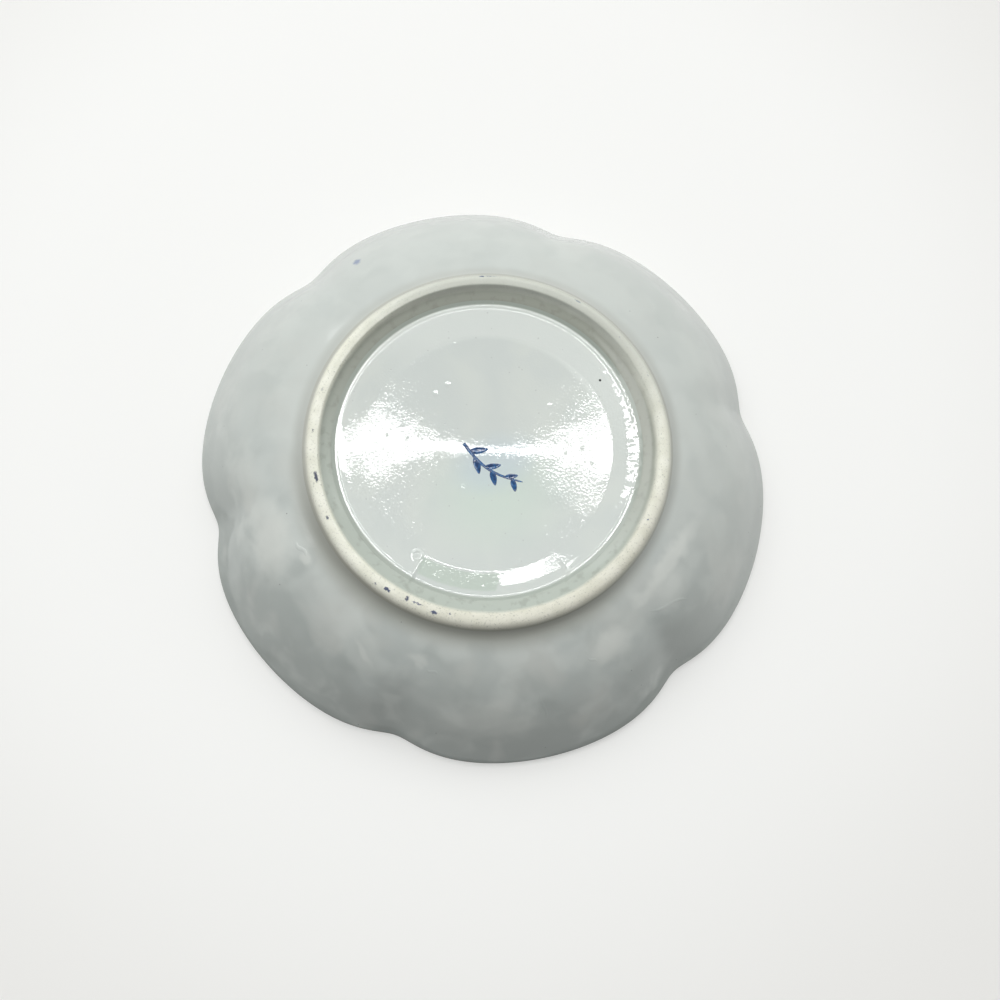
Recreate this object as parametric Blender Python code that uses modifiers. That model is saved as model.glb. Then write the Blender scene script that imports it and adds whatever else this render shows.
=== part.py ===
"""Six-lobed porcelain trinket dish on a foot ring: pressed body, luted foot ring and two glaze coats.

The dish stands on its foot ring. The origin is the middle of the standing edge, +Z is up out of the
well, and the crest of one lobe lies on +X. All sizes are in metres.
"""

import math

import bpy
from mathutils import Vector
from mathutils.geometry import interpolate_bezier

# Driving dimensions of the finished, glazed dish
HEIGHT = 0.0240  # standing edge to the top of the rim
RIM_RADIUS = 0.0570  # axis to the crest of a lobe
RIM_THICKNESS = 0.0022  # the edge is a half round of this thickness
RIM_SLOPE = math.radians(56)  # steepness of the wall where it reaches the rim
LOBE_COUNT = 6
NOTCH_DEPTH = 0.0029  # how far the rim draws in between two lobes
NOTCH_SPREAD = math.radians(7.7)  # half the width of that dip, seen from the axis
NOTCH_SHARPNESS = 1.28  # 1 is a sharp V, 2 a round dip
WELL_RADIUS = 0.0300  # flat floor of the well
FLOOR_THICKNESS = 0.0046  # well floor to the edge of the base inside the foot
WALL_START_SLOPE = math.radians(20)  # steepness of the wall where it leaves the foot

# Foot ring
FOOT_EDGE_RADIUS = 0.0338  # outer radius of the standing edge
FOOT_EDGE_WIDTH = 0.0023
FOOT_EDGE_BREAK = 0.0003  # small bevel along both sides of the standing edge
FOOT_OUTER_DRAFT = 0.0009  # how much wider the ring is at its top, outside
FOOT_INNER_DRAFT = 0.0033  # and inside
FOOT_COVE = 0.0029  # width of the glazed hollow between the foot and the wall
BASE_COVE = 0.0016  # width of the glazed hollow between the foot and the base
BARE_HEIGHT = 0.0012  # the foot is wiped clean of glaze up to here
RECESS_DEPTH = 0.0024  # standing edge to the base, at the edge of the base
BASE_RISE = 0.0015  # how much higher the middle of the base lies
BASE_DISC_RADIUS = 0.0228  # the base is flatter outside this circle
SEAT_DEPTH = 0.0008  # groove in the body that the foot ring is luted into

# Layers
GLAZE_THICKNESS = 0.0004
FUSE_GAP = 0.0003  # clearance between pieces that are fired together

# Facets
TURN_STEPS = 84  # a multiple of the lobes, so that crests and notches fall on an edge
WALL_POINTS = 8
RIM_POINTS = 6
COVE_POINTS = 5

# Heights and radii that follow from the sizes above
LAYER = GLAZE_THICKNESS + FUSE_GAP
FLOOR_TOP = RECESS_DEPTH + FLOOR_THICKNESS
BODY_BASE = RECESS_DEPTH + LAYER
SEAT_ROOF = BODY_BASE + SEAT_DEPTH
RING_TOP = SEAT_ROOF - FUSE_GAP
WALL_START_RADIUS = FOOT_EDGE_RADIUS + FOOT_OUTER_DRAFT + FOOT_COVE
WALL_START_HEIGHT = BODY_BASE + FUSE_GAP


def foot_outer(height):
    """Radius of the foot ring's outer side."""
    return FOOT_EDGE_RADIUS + FOOT_OUTER_DRAFT * height / RING_TOP


def foot_inner(height):
    """Radius of the foot ring's inner side."""
    return FOOT_EDGE_RADIUS - FOOT_EDGE_WIDTH - FOOT_INNER_DRAFT * height / RING_TOP


def heading(slope):
    """Unit direction in the profile plane, outwards and up by an angle."""
    return Vector((math.cos(slope), math.sin(slope)))


def curve_between(start, start_heading, end, end_heading, count):
    """Smooth run of points that leaves and arrives along the given headings."""
    reach = 0.36 * (end - start).length
    handles = (start + start_heading * reach, end - end_heading * reach)
    return [p.to_2d() for p in interpolate_bezier(start, *handles, end, count)]


def inset(path, depth):
    """Path moved into the material, which lies on its right. A point on the axis stays there."""
    moved = []
    for i, point in enumerate(path):
        before = path[max(i - 1, 0)]
        after = path[min(i + 1, len(path) - 1)]
        along = (after - before).normalized()
        across = Vector((along.y, -along.x))
        if point.x == 0:
            across = Vector((0, math.copysign(1, across.y)))
        moved.append(point + across * depth)
    return moved


def glazed_outline():
    """Finished surface from the middle of the well, over the rim and down to where the wall leaves the foot."""
    rim_round = RIM_THICKNESS / 2
    rim_middle = Vector((RIM_RADIUS - rim_round, HEIGHT - rim_round))
    rim_start = RIM_SLOPE + math.pi / 2
    rim_angles = [rim_start - math.pi * i / RIM_POINTS for i in range(RIM_POINTS + 1)]
    rim = [rim_middle + rim_round * heading(angle) for angle in rim_angles]

    well_edge = Vector((WELL_RADIUS, FLOOR_TOP))
    wall_start = Vector((WALL_START_RADIUS, WALL_START_HEIGHT))
    face = curve_between(well_edge, heading(0), rim[0], heading(RIM_SLOPE), WALL_POINTS)
    back = curve_between(
        rim[-1], -heading(RIM_SLOPE), wall_start, -heading(WALL_START_SLOPE), WALL_POINTS
    )
    return [Vector((0, FLOOR_TOP))] + face + rim[1:-1] + back


def notch(angle):
    """1 in the middle of a dip between two lobes, 0 on a crest."""
    pitch = 2 * math.pi / LOBE_COUNT
    off = abs(angle % pitch - pitch / 2)
    return math.exp(-((off / NOTCH_SPREAD) ** NOTCH_SHARPNESS))


def press_lobes(mesh):
    """Draws the wall in between the lobes, from nothing at the foot to the full depth at the rim."""
    for vertex in mesh.vertices:
        radius = math.hypot(vertex.co.x, vertex.co.y)
        share = (radius - WALL_START_RADIUS) / (RIM_RADIUS - WALL_START_RADIUS)
        share = min(max(share, 0), 1)
        ease = share * share * (3 - 2 * share)
        dip = NOTCH_DEPTH / RIM_RADIUS * notch(math.atan2(vertex.co.y, vertex.co.x))
        vertex.co.x *= 1 - dip * ease
        vertex.co.y *= 1 - dip * ease


def turned(name, path, closed, material, lobed=False):
    """Solid turned about Z from a profile of radius and height that runs down its outer side."""
    count = len(path)
    edges = [(i, i + 1) for i in range(count - 1)]
    if closed:
        edges.append((count - 1, 0))
    profile = bpy.data.meshes.new(name + "_profile")
    profile.from_pydata([(p.x, 0, p.y) for p in path], edges, [])
    blank = bpy.data.objects.new(name + "_blank", profile)
    collection.objects.link(blank)
    screw = blank.modifiers.new("Turn", "SCREW")
    screw.axis = "Z"
    screw.angle = 2 * math.pi
    screw.steps = TURN_STEPS
    screw.render_steps = TURN_STEPS
    screw.use_merge_vertices = True
    screw.merge_threshold = 0.00001

    graph = bpy.context.evaluated_depsgraph_get()
    mesh = bpy.data.meshes.new_from_object(blank.evaluated_get(graph))
    bpy.data.objects.remove(blank)
    bpy.data.meshes.remove(profile)
    if lobed:
        press_lobes(mesh)
    mesh.name = name
    mesh.shade_smooth()
    mesh.set_sharp_from_angle(angle=math.radians(40))
    mesh.materials.clear()
    mesh.materials.append(material)
    piece = bpy.data.objects.new(name, mesh)
    piece.parent = stand
    collection.objects.link(piece)
    return piece


def ceramic(name, colour, roughness, coat):
    """Principled material of a fired surface."""
    material = bpy.data.materials.new(name)
    material.use_nodes = True
    shader = material.node_tree.nodes["Principled BSDF"]
    shader.inputs["Base Color"].default_value = (*colour, 1)
    shader.inputs["Roughness"].default_value = roughness
    shader.inputs["Metallic"].default_value = 0
    shader.inputs["Coat Weight"].default_value = coat
    return material


def make_dish_body(outline, material):
    """Pressed porcelain body: one wall from the well floor to the rim, with a groove below for the foot ring."""
    skin = inset(outline, LAYER)
    groove_outer = foot_outer(RING_TOP) + FUSE_GAP
    groove_inner = foot_inner(RING_TOP) - FUSE_GAP
    under = [
        Vector((groove_outer, BODY_BASE)),
        Vector((groove_outer, SEAT_ROOF)),
        Vector((groove_inner, SEAT_ROOF)),
        Vector((groove_inner, BODY_BASE)),
        Vector((BASE_DISC_RADIUS, BODY_BASE)),
        Vector((0, BODY_BASE + BASE_RISE)),
    ]
    return turned("dish_body", skin + under, False, material, lobed=True)


def make_foot_ring(material):
    """Turned ring that the dish stands on, luted into the groove of the body. Its lower edge stays bare."""
    rise = FOOT_EDGE_BREAK
    path = [
        Vector((foot_outer(RING_TOP), RING_TOP)),
        Vector((foot_outer(rise), rise)),
        Vector((foot_outer(0) - FOOT_EDGE_BREAK, 0)),
        Vector((foot_inner(0) + FOOT_EDGE_BREAK, 0)),
        Vector((foot_inner(rise), rise)),
        Vector((foot_inner(RING_TOP), RING_TOP)),
    ]
    return turned("foot_ring", path, True, material)


def make_outer_glaze(outline, material):
    """Glaze over the face, the rim and the back, pooled against the foot and wiped off below."""
    lip = Vector((foot_outer(BARE_HEIGHT) + LAYER, BARE_HEIGHT))
    cove = curve_between(outline[-1], -heading(WALL_START_SLOPE), lip, Vector((0, -1)), COVE_POINTS)
    corner_height = BODY_BASE - FUSE_GAP
    corner = Vector((foot_outer(corner_height) + FUSE_GAP, corner_height))
    lip_back = Vector((foot_outer(BARE_HEIGHT) + FUSE_GAP, BARE_HEIGHT))
    under_side = inset(outline, GLAZE_THICKNESS)
    path = outline + cove[1:] + [lip_back, corner] + under_side[::-1]
    return turned("outer_glaze", path, False, material, lobed=True)


def make_base_glaze(material):
    """Glaze over the base inside the foot ring, pooled in the corner and wiped off the lower edge."""
    upper = BODY_BASE - FUSE_GAP
    corner = Vector((foot_inner(upper) - FUSE_GAP, upper))
    lip_back = Vector((foot_inner(BARE_HEIGHT) - FUSE_GAP, BARE_HEIGHT))
    lip = Vector((foot_inner(BARE_HEIGHT) - LAYER, BARE_HEIGHT))
    cove_end = Vector((lip.x - BASE_COVE, RECESS_DEPTH))
    cove = curve_between(lip, Vector((0, 1)), cove_end, Vector((-1, 0)), COVE_POINTS)
    hidden = [Vector((0, upper + BASE_RISE)), Vector((BASE_DISC_RADIUS, upper)), corner, lip_back]
    shown = [Vector((BASE_DISC_RADIUS, RECESS_DEPTH)), Vector((0, RECESS_DEPTH + BASE_RISE))]
    return turned("base_glaze", hidden + cove + shown, False, material)


for leftover in list(bpy.data.objects):
    bpy.data.objects.remove(leftover)

collection = bpy.data.collections.new("trinket_dish")
bpy.context.scene.collection.children.link(collection)
stand = bpy.data.objects.new("trinket_dish_origin", None)
collection.objects.link(stand)

bare_porcelain = ceramic("bare_porcelain", (0.78, 0.76, 0.66), 0.75, 0)
clear_glaze = ceramic("clear_glaze", (0.63, 0.67, 0.64), 0.12, 1)

finished = glazed_outline()
make_dish_body(finished, bare_porcelain)
make_foot_ring(bare_porcelain)
make_outer_glaze(finished, clear_glaze)
make_base_glaze(clear_glaze)
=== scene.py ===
import math

import bpy
import numpy as np
from mathutils import Matrix, Vector, noise
from mathutils.bvhtree import BVHTree


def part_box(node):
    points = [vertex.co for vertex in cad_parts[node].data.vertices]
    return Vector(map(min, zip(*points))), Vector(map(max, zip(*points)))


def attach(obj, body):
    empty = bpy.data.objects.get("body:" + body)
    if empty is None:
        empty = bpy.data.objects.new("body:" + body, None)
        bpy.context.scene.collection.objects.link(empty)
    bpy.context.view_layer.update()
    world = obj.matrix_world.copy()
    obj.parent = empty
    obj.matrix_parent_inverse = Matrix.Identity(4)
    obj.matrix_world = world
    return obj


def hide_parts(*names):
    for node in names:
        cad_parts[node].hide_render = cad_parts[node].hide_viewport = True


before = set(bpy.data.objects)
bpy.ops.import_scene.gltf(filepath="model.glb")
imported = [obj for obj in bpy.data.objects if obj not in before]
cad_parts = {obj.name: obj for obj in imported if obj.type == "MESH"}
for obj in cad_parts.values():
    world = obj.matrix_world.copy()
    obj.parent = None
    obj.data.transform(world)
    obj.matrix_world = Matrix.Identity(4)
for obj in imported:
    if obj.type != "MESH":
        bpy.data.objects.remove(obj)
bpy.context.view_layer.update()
mm = 0.001

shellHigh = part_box("outer_glaze")[1]
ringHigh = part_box("foot_ring")[1]
rimInset = 0.33 * mm  # an uneven rim, so it starts a little inside the frame's box
rimGap = 0.02 * mm
rimRadius = shellHigh.x - rimInset
dishHeight = shellHigh.z - rimGap
print("frame loaded, dish", round(rimRadius * 2 / mm, 1), "by", round(dishHeight / mm, 1), "mm")


def addObject(name, data):
    thing = bpy.data.objects.new(name, data)
    bpy.context.scene.collection.objects.link(thing)
    return thing


# The dish is seen turned over on a table. Table axes: x right, y away, z up off the table.
tableView = {
    "turn": -7.63,  # degrees, table axes to dish axes about the upright
    "fieldOfView": 40.0,
    "tilt": 14.18,  # degrees off straight down
    "roll": -10.17,
    "distance": 276.4 * mm,
    "aside": (-3.2 * mm, 4.7 * mm),  # where the rim's middle stands in the picture
    "sensor": 36,  # mm, only sets the scale of the lens
    "clipStart": 0.01,
}
toDish = (
    Matrix.Rotation(math.radians(tableView["turn"]), 4, "Z")
    @ Matrix.Translation((0, 0, dishHeight))
    @ Matrix.Diagonal((1, -1, -1, 1))
)


def makeCamera(view):
    tilt, roll = math.radians(view["tilt"]), math.radians(view["roll"])
    ahead = Vector((0, math.sin(tilt), -math.cos(tilt)))
    level = Vector((1, 0, 0))
    raised = level.cross(ahead)
    right = level * math.cos(roll) - raised * math.sin(roll)
    up = level * math.sin(roll) + raised * math.cos(roll)
    pose = Matrix((right, up, -ahead)).transposed().to_4x4()
    pose.translation = -right * view["aside"][0] - up * view["aside"][1] - ahead * view["distance"]
    data = bpy.data.cameras.new("photo_camera")
    data.sensor_width = view["sensor"]
    data.lens = view["sensor"] / 2 / math.tan(math.radians(view["fieldOfView"]) / 2)
    data.clip_start = view["clipStart"]
    camera = addObject("photo_camera", data)
    camera.matrix_world = toDish @ pose
    bpy.context.scene.camera = camera


makeCamera(tableView)
print("camera placed")

ceramicIor = 1.5


class Wire:  # one output of a node, with arithmetic
    def __init__(self, bench, socket):
        self.bench = bench
        self.socket = socket

    def maths(self, operation, first, second):
        return self.bench.make("ShaderNodeMath", {"operation": operation}, {0: first, 1: second})

    def __add__(self, other):
        return self.maths("ADD", self, other)

    def __radd__(self, other):
        return self.maths("ADD", other, self)

    def __sub__(self, other):
        return self.maths("SUBTRACT", self, other)

    def __rsub__(self, other):
        return self.maths("SUBTRACT", other, self)

    def __mul__(self, other):
        return self.maths("MULTIPLY", self, other)

    def __rmul__(self, other):
        return self.maths("MULTIPLY", other, self)


class Bench:  # makes the nodes of one material or world
    def __init__(self, owner):
        owner.use_nodes = True
        self.tree = owner.node_tree
        self.tree.nodes.clear()

    def make(self, kind, settings=None, inputs=None, output=0):
        node = self.tree.nodes.new(kind)
        for name, value in (settings or {}).items():
            setattr(node, name, value)
        for name, value in (inputs or {}).items():
            socket = node.inputs[name]
            if isinstance(value, Wire):
                self.tree.links.new(value.socket, socket)
            elif socket.type == "RGBA":
                socket.default_value = (*value, 1)
            else:
                socket.default_value = value
        return Wire(self, node.outputs[output]) if node.outputs else None

    def place(self):
        return self.make("ShaderNodeTexCoord", output="Object")

    def split(self, vector):
        node = self.make("ShaderNodeSeparateXYZ", {}, {0: vector}).socket.node
        return [Wire(self, socket) for socket in node.outputs]

    def vector(self, operation, inputs, output=0):
        return self.make("ShaderNodeVectorMath", {"operation": operation}, inputs, output)

    def radius(self, vector):  # distance from the upright axis
        x, y = self.split(vector)[:2]
        return self.make("ShaderNodeMath", {"operation": "SQRT"}, {0: x * x + y * y})

    def step(self, value, low, high):  # soft step from 0 at low to 1 at high
        return self.make(
            "ShaderNodeMapRange",
            {"interpolation_type": "SMOOTHSTEP"},
            {"Value": value, "From Min": low, "From Max": high},
        )

    def cloud(self, vector, size, detail=2, roughness=0.5, distortion=0, output=0):
        return self.make(
            "ShaderNodeTexNoise",
            {"noise_dimensions": "3D"},
            {
                "Vector": vector,
                "Scale": 1 / size,
                "Detail": detail,
                "Roughness": roughness,
                "Distortion": distortion,
            },
            output,
        )

    def blend(self, factor, first, second, kind="MIX"):
        return self.make(
            "ShaderNodeMix",
            {"data_type": "RGBA", "blend_type": kind},
            {0: factor, 6: first, 7: second},  # its colour sockets
            output=2,
        )

    def mixShader(self, factor, first, second):
        return self.make("ShaderNodeMixShader", {}, {0: factor, 1: first, 2: second})

    def finish(self, shader, kind="ShaderNodeOutputMaterial"):
        self.make(kind, {}, {"Surface": shader})

    def ceramic(self, tone, rough, relief, depth):  # a fired surface with a fine relief
        bump = self.make("ShaderNodeBump", {}, {"Strength": 1, "Distance": depth, "Height": relief})
        inputs = {"Base Color": tone, "Roughness": rough, "IOR": ceramicIor, "Normal": bump}
        self.finish(self.make("ShaderNodeBsdfPrincipled", {}, inputs))


def newMaterial(name):
    material = bpy.data.materials.new(name)
    return material, Bench(material)


# One smooth profile, radius and height in metres, shared by the dish, its foot and the glaze inside the foot
dishShape = {
    "rimRound": 1.1 * mm,
    "rimSlope": 56,  # degrees, as are the other slopes here
    "wellRadius": 30.0 * mm,
    "wellFloor": 7.0 * mm,
    "wellSag": 0.35 * mm,
    "wellEdgeSlope": 3,
    "wallStart": (36.6 * mm, 3.1 * mm),
    "wallStartSlope": 20,
    "wallReach": (0.30, 0.48),  # how far the rim's and the foot's heading carry along the wall
    "underStep": (-0.4 * mm, 0.15 * mm),  # from the end of the back in to the hidden seat on the foot
    "seatInset": 0.3 * mm,
    "seatInner": 28.0 * mm,
    "skinGap": 0.05 * mm,  # between the body and the glaze inside the foot
    "rimPoints": 17,
    "floorPoints": 26,
    "facePoints": 52,
    "backPoints": 60,
    "steps": 480,
}
footShape = {
    "edgeOuter": 33.85 * mm,
    "flare": 32,  # degrees, how far the outer side leans out
    "edgeInner": 31.33 * mm,
    "outerRound": 1.3 * mm,
    "innerRound": 1.3 * mm,
    "innerRoundEnd": -140,  # degrees
    "innerHeading": (130, 152),  # degrees, at the start and end of the inner side
    "innerTop": (28.95 * mm, 2.1 * mm),  # where the inner side runs into the base
    "liftEase": 0.2 * mm,  # the inner side follows the base from this far inside the standing edge
    "coveReach": (0.4, 0.4),
    "covePoints": 28,  # from the wall to the standing edge
    "coveSplit": 19,  # of those, where the dish ends and the foot starts
    "edgePoints": (9, 5, 15),  # outer rounding, flat and inner rounding
    "innerPoints": 18,
    "topGap": 0.05 * mm,  # the hidden top lies under the dish by this
    "topInner": 28.6 * mm,
    "topInset": 0.2 * mm,
    "sway": 0.43 * mm,  # the standing edge lies off the middle by this
    "swaySide": 42,  # degrees
    "oval": 0.12 * mm,  # and is longer by this one way than round
    "ovalSide": 73,  # degrees
    "swayReach": (0.8 * mm, 2.6 * mm),  # heights between which that fades
    "swayInward": (29.5 * mm, 32 * mm),  # and radii, where the edge moves in and where it moves out
    "swayOutward": (31.8 * mm, 33 * mm),
    "flatten": 0.8,  # how much of the inner rounding is worn away at the flattest
    "flatSide": 206,  # degrees
    "flatSpread": (130, 60),  # degrees to either side between which that grows
    "flatInside": (32.7 * mm, 32.4 * mm),  # and radii
    "flatReach": (0.2 * mm, 0.95 * mm),  # heights between which it fades
    "steps": 480,
}
baseShape = {
    "coneSlope": 0.084,  # the base rises to its middle like a very flat cone
    "apex": 5.0 * mm,  # and its middle is rounded over this radius
    "disc": 23.4 * mm,  # outside this the slope changes, and not alike on all sides
    "discEase": (0.1 * mm, 2.0 * mm),  # over what width it changes, at the least and at the most
    "discSoft": 175,  # degrees, the side where it is softest
    "discSoftSpread": (50, 20),  # degrees to either side
    "discShort": 1.4 * mm,  # the disc is smaller by this on its far side
    "discShortSide": 251,  # degrees
    "discShortSpread": (75, 15),
    "ring": (  # degrees, then the slope next to the disc and further out
        (30, 0.11, 0.11),
        (40, 0.092, 0.092),
        (41.6, 0.0575, 0.0435),
        (66.6, 0.0575, 0.0435),
        (68.4, 0.040, 0.040),
        (100.5, 0.040, 0.040),
        (101.5, 0.090, 0.080),
        (125, 0.10, 0.10),
        (161, 0.13, 0.13),
        (185, 0.15, 0.115),
        (215, 0.15, 0.115),
        (251, 0.13, 0.13),
        (297, 0.15, 0.13),
        (318, 0.17, 0.085),
        (356, 0.17, 0.085),
        (358, 0.17, 0.13),
    ),
    "ringReach": (25.9 * mm, 26.7 * mm),  # where the second slope takes over from the first
    "moat": 27.7 * mm,  # a level strip before the turn into the foot
    "moatEase": (0.1 * mm, 0.7 * mm),  # over what width the base runs down to it
    "moatSoft": 270,  # degrees, the side where it is softest
    "moatSoftSpread": (55, 95),
    "turn": (  # radius and slope of the turn into the foot
        (27.8 * mm, 0),
        (27.95 * mm, 0.046),
        (28.1 * mm, 0.084),
        (28.27 * mm, 0.1),
        (28.42 * mm, 0.48),
        (28.95 * mm, 0.52),
    ),
    "skin": 0.35 * mm,
    "backReach": 27.4 * mm,  # how far the hidden side reaches
    "backPoints": 20,
    "corner": (28.9 * mm, 0.7 * mm),  # radius of the hidden corner, and its height over the foot's inner side
    "breaks": (20 * mm, 27.6 * mm),  # radii where the rings of the mesh get closer
    "rings": (44, 66, 34),
    "steps": 720,
}


def smooth(value, low, high):
    t = np.clip((value - low) / (high - low), 0, 1)
    return t * t * (3 - 2 * t)


def angleOff(degrees, middle):
    return np.abs((degrees - middle + 180) % 360 - 180)


def heading(degrees):
    return np.array((math.cos(math.radians(degrees)), math.sin(math.radians(degrees))))


def directions(path):  # unit steps along a path
    along = np.gradient(path, axis=0)
    return along / np.linalg.norm(along, axis=1)[:, None]


def curveBetween(start, startHeading, end, endHeading, count, reach=(0.36, 0.36)):
    start, end = np.array(start), np.array(end)
    span = np.linalg.norm(end - start)
    first, last = start + startHeading * span * reach[0], end - endHeading * span * reach[1]
    t = np.linspace(0, 1, count)[:, None]
    return (1 - t) ** 3 * start + 3 * (1 - t) ** 2 * t * first + 3 * (1 - t) * t**2 * last + t**3 * end


def arc(middle, radius, fromDegrees, toDegrees, count):
    angles = np.radians(np.linspace(fromDegrees, toDegrees, count))
    return np.array(middle) + radius * np.stack([np.cos(angles), np.sin(angles)], 1)


def joined(*paths):  # each path starts where the one before it ends
    return np.concatenate([paths[0], *(path[1:] for path in paths[1:])])


def facePath(shape):  # middle of the well to the rim's inner side, then over the rim
    slope = shape["rimSlope"]
    rimMiddle = (rimRadius - shape["rimRound"], dishHeight - shape["rimRound"])
    rim = arc(rimMiddle, shape["rimRound"], slope + 90, slope - 90, shape["rimPoints"])
    wellMiddle = (0, shape["wellFloor"] - shape["wellSag"])
    wellEdge = (shape["wellRadius"], shape["wellFloor"])
    edgeSlope = heading(shape["wellEdgeSlope"])
    floor = curveBetween(wellMiddle, heading(0), wellEdge, edgeSlope, shape["floorPoints"])
    wall = curveBetween(wellEdge, edgeSlope, rim[0], heading(slope), shape["facePoints"])
    return joined(floor, wall, rim)


def covePath(shape, foot):  # one hollow from the wall to the outer side of the standing edge
    r, flare = foot["outerRound"], foot["flare"]
    start = -heading(shape["wallStartSlope"])
    edge = np.array((foot["edgeOuter"] - r, r)) + heading(-flare) * r
    down = heading(-90 - flare)
    return curveBetween(shape["wallStart"], start, edge, down, foot["covePoints"], foot["coveReach"])


def backPath(shape, foot, start):  # rim's outer side down to the foot's outer side
    high, low = -heading(shape["rimSlope"]), -heading(shape["wallStartSlope"])
    wall = curveBetween(start, high, shape["wallStart"], low, shape["backPoints"], shape["wallReach"])
    return joined(wall, covePath(shape, foot)[: foot["coveSplit"]])


def footPath(shape, foot):  # down the outer side, under the standing edge and up the inner side
    r, q = foot["outerRound"], foot["innerRound"]
    outerPoints, flatPoints, innerPoints = foot["edgePoints"]
    outer = covePath(shape, foot)[foot["coveSplit"] - 1 :]
    outerEdge = arc((foot["edgeOuter"] - r, r), r, -foot["flare"], -90, outerPoints)
    innerEdge = arc((foot["edgeInner"] + q, q), q, -90, foot["innerRoundEnd"], innerPoints)
    flat = np.linspace(outerEdge[-1], innerEdge[0], flatPoints)
    leave, arrive = (heading(degrees) for degrees in foot["innerHeading"])
    inner = curveBetween(innerEdge[-1], leave, foot["innerTop"], arrive, foot["innerPoints"])
    return joined(outer, outerEdge, flat, innerEdge, inner)


def footSway(foot, angles, radius, height):  # how far the standing edge moves outward, in metres
    low = 1 - smooth(height, *foot["swayReach"])
    sway = foot["sway"] * np.cos(angles - math.radians(foot["swaySide"]))
    sway = sway + foot["oval"] * np.cos(2 * (angles - math.radians(foot["ovalSide"])))
    outer = np.where(sway < 0, smooth(radius, *foot["swayInward"]), smooth(radius, *foot["swayOutward"]))
    return sway * low * outer


def baseSlope(base, radius, degrees):  # how steeply the base falls away from its middle
    cone = base["coneSlope"] * radius / np.sqrt(radius**2 + base["apex"] ** 2)
    sides, first, second = np.array(base["ring"]).T
    inner = np.interp(degrees, sides, first, period=360)
    outer = np.interp(degrees, sides, second, period=360)
    ring = inner + (outer - inner) * smooth(radius, *base["ringReach"])
    sharp, soft = base["moatEase"]
    ease = soft + (sharp - soft) * smooth(angleOff(degrees, base["moatSoft"]), *base["moatSoftSpread"])
    ring = ring * (1 - smooth(radius, base["moat"] - ease, base["moat"]))
    short = smooth(angleOff(degrees, base["discShortSide"]), *base["discShortSpread"])
    disc = base["disc"] - base["discShort"] * short
    sharp, soft = base["discEase"]
    ease = sharp + (soft - sharp) * smooth(angleOff(degrees, base["discSoft"]), *base["discSoftSpread"])
    outside = smooth(radius, disc - ease, disc + ease)
    turn = np.interp(radius, *np.array(base["turn"]).T)
    return cone * (1 - outside) + ring * outside + turn


def baseMiddle(base, foot):  # height of the base's middle, so that its edge meets the foot on average
    edge, samples, sides = base["turn"][-1][0], 300, 36
    radii = np.linspace(0, edge, samples)[:, None]
    degrees = np.linspace(0, 360, sides, endpoint=False)
    falls = np.trapz(baseSlope(base, radii, degrees), radii, axis=0)
    return foot["innerTop"][1] + falls.mean()


def baseGrid(base):  # radius and height of the base's underside, ring by ring from its middle outward
    stops = (0, *base["breaks"], base["turn"][-1][0])
    stretches = zip(stops, stops[1:], base["rings"])
    radii = joined(*(np.linspace(start, end, count)[:, None] for start, end, count in stretches))
    angles, radius, height = turnedGrid(np.hstack([radii, radii]), base["steps"])
    degrees = np.degrees(angles)
    height[0] = base["middle"]
    for i in range(1, len(radii)):
        step = radii[i] - radii[i - 1]
        height[i] = height[i - 1] - baseSlope(base, radii[i] - step / 2, degrees) * step
    return angles, radius, height


baseShape["middle"] = baseMiddle(baseShape, footShape)


# What the maker's hand left: lobes that differ a little, and surfaces that aren't quite even
handWork = {
    "lobe": 60,  # degrees, with a notch half way between two crests
    "notchSpread": 7.7,  # degrees
    "notchSharpness": 1.28,
    "notchRound": 2.2,  # degrees
    "notchShift": (-0.9, 0.6, 0.5, 1.2, -1.1, -1.5),  # degrees, from 30, 90, 150 and so on
    "notchDepth": (3.5, 3.1, 3.8, 2.9, 2.8, 3.1),  # mm
    "crestSwell": (-0.16, 0.3, -0.15, 0.0, 0.05, -0.11),  # mm, at 0, 60, 120 and so on
    "lumpSize": 9 * mm,
    "lumpDepth": 0.13 * mm,
    "lumpFrom": (35 * mm, 40 * mm),  # radii between which the lumps grow
    "lumpTo": (21 * mm, 23.5 * mm),  # heights between which they fade at the rim
    "faceLumps": 0.5,  # share of their depth on the face
    "baseWave": 7 * mm,
    "baseWaveDepth": 0.011 * mm,
    "baseWaveEnd": (27.2 * mm, 27.8 * mm),
    "edgeWave": 0.9 * mm,  # the glaze gathers unevenly where base and foot meet
    "edgeWaveDepth": 0.012 * mm,
    "edgeWaveIn": (25.4 * mm, 26.6 * mm),
    "edgeWaveOut": (28.4 * mm, 28.9 * mm),
    "edgeWaveSide": 332,  # degrees, where that shows most
    "edgeWaveSpread": (50, 18),  # degrees to either side
    "edgeWaveLeast": 0.05,  # share of the depth elsewhere
    "edgeWaveMiddle": 28 * mm,
    "edgeWaveStretch": 0.55,  # the waves are longer across the edge than along it
    "seed": Vector((3.1, 7.7, 1.9)),
}


def notchPull(angles, hand):  # how far the rim is drawn in, in metres
    degrees, lobe = np.degrees(angles), hand["lobe"]
    pull = np.zeros_like(angles)
    lobes = zip(hand["notchShift"], hand["notchDepth"], hand["crestSwell"])
    for k, (shift, depth, swell) in enumerate(lobes):
        off = np.hypot(angleOff(degrees, lobe / 2 + lobe * k + shift), hand["notchRound"])
        pull += depth * mm * np.exp(-((off / hand["notchSpread"]) ** hand["notchSharpness"]))
        away = np.minimum(angleOff(degrees, lobe * k), lobe)
        pull -= swell * mm * np.cos(np.radians(away * 90 / lobe)) ** 2
    return pull


def unevenness(points, size, seed, finer=2.3, share=0.4):  # soft noise and some finer noise, about -1 to 1
    flat = points.reshape(-1, 3) / size
    values = [noise.noise(Vector(p) + seed) + share * noise.noise(Vector(p) * finer + seed) for p in flat]
    return np.array(values).reshape(points.shape[:-1])


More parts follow.
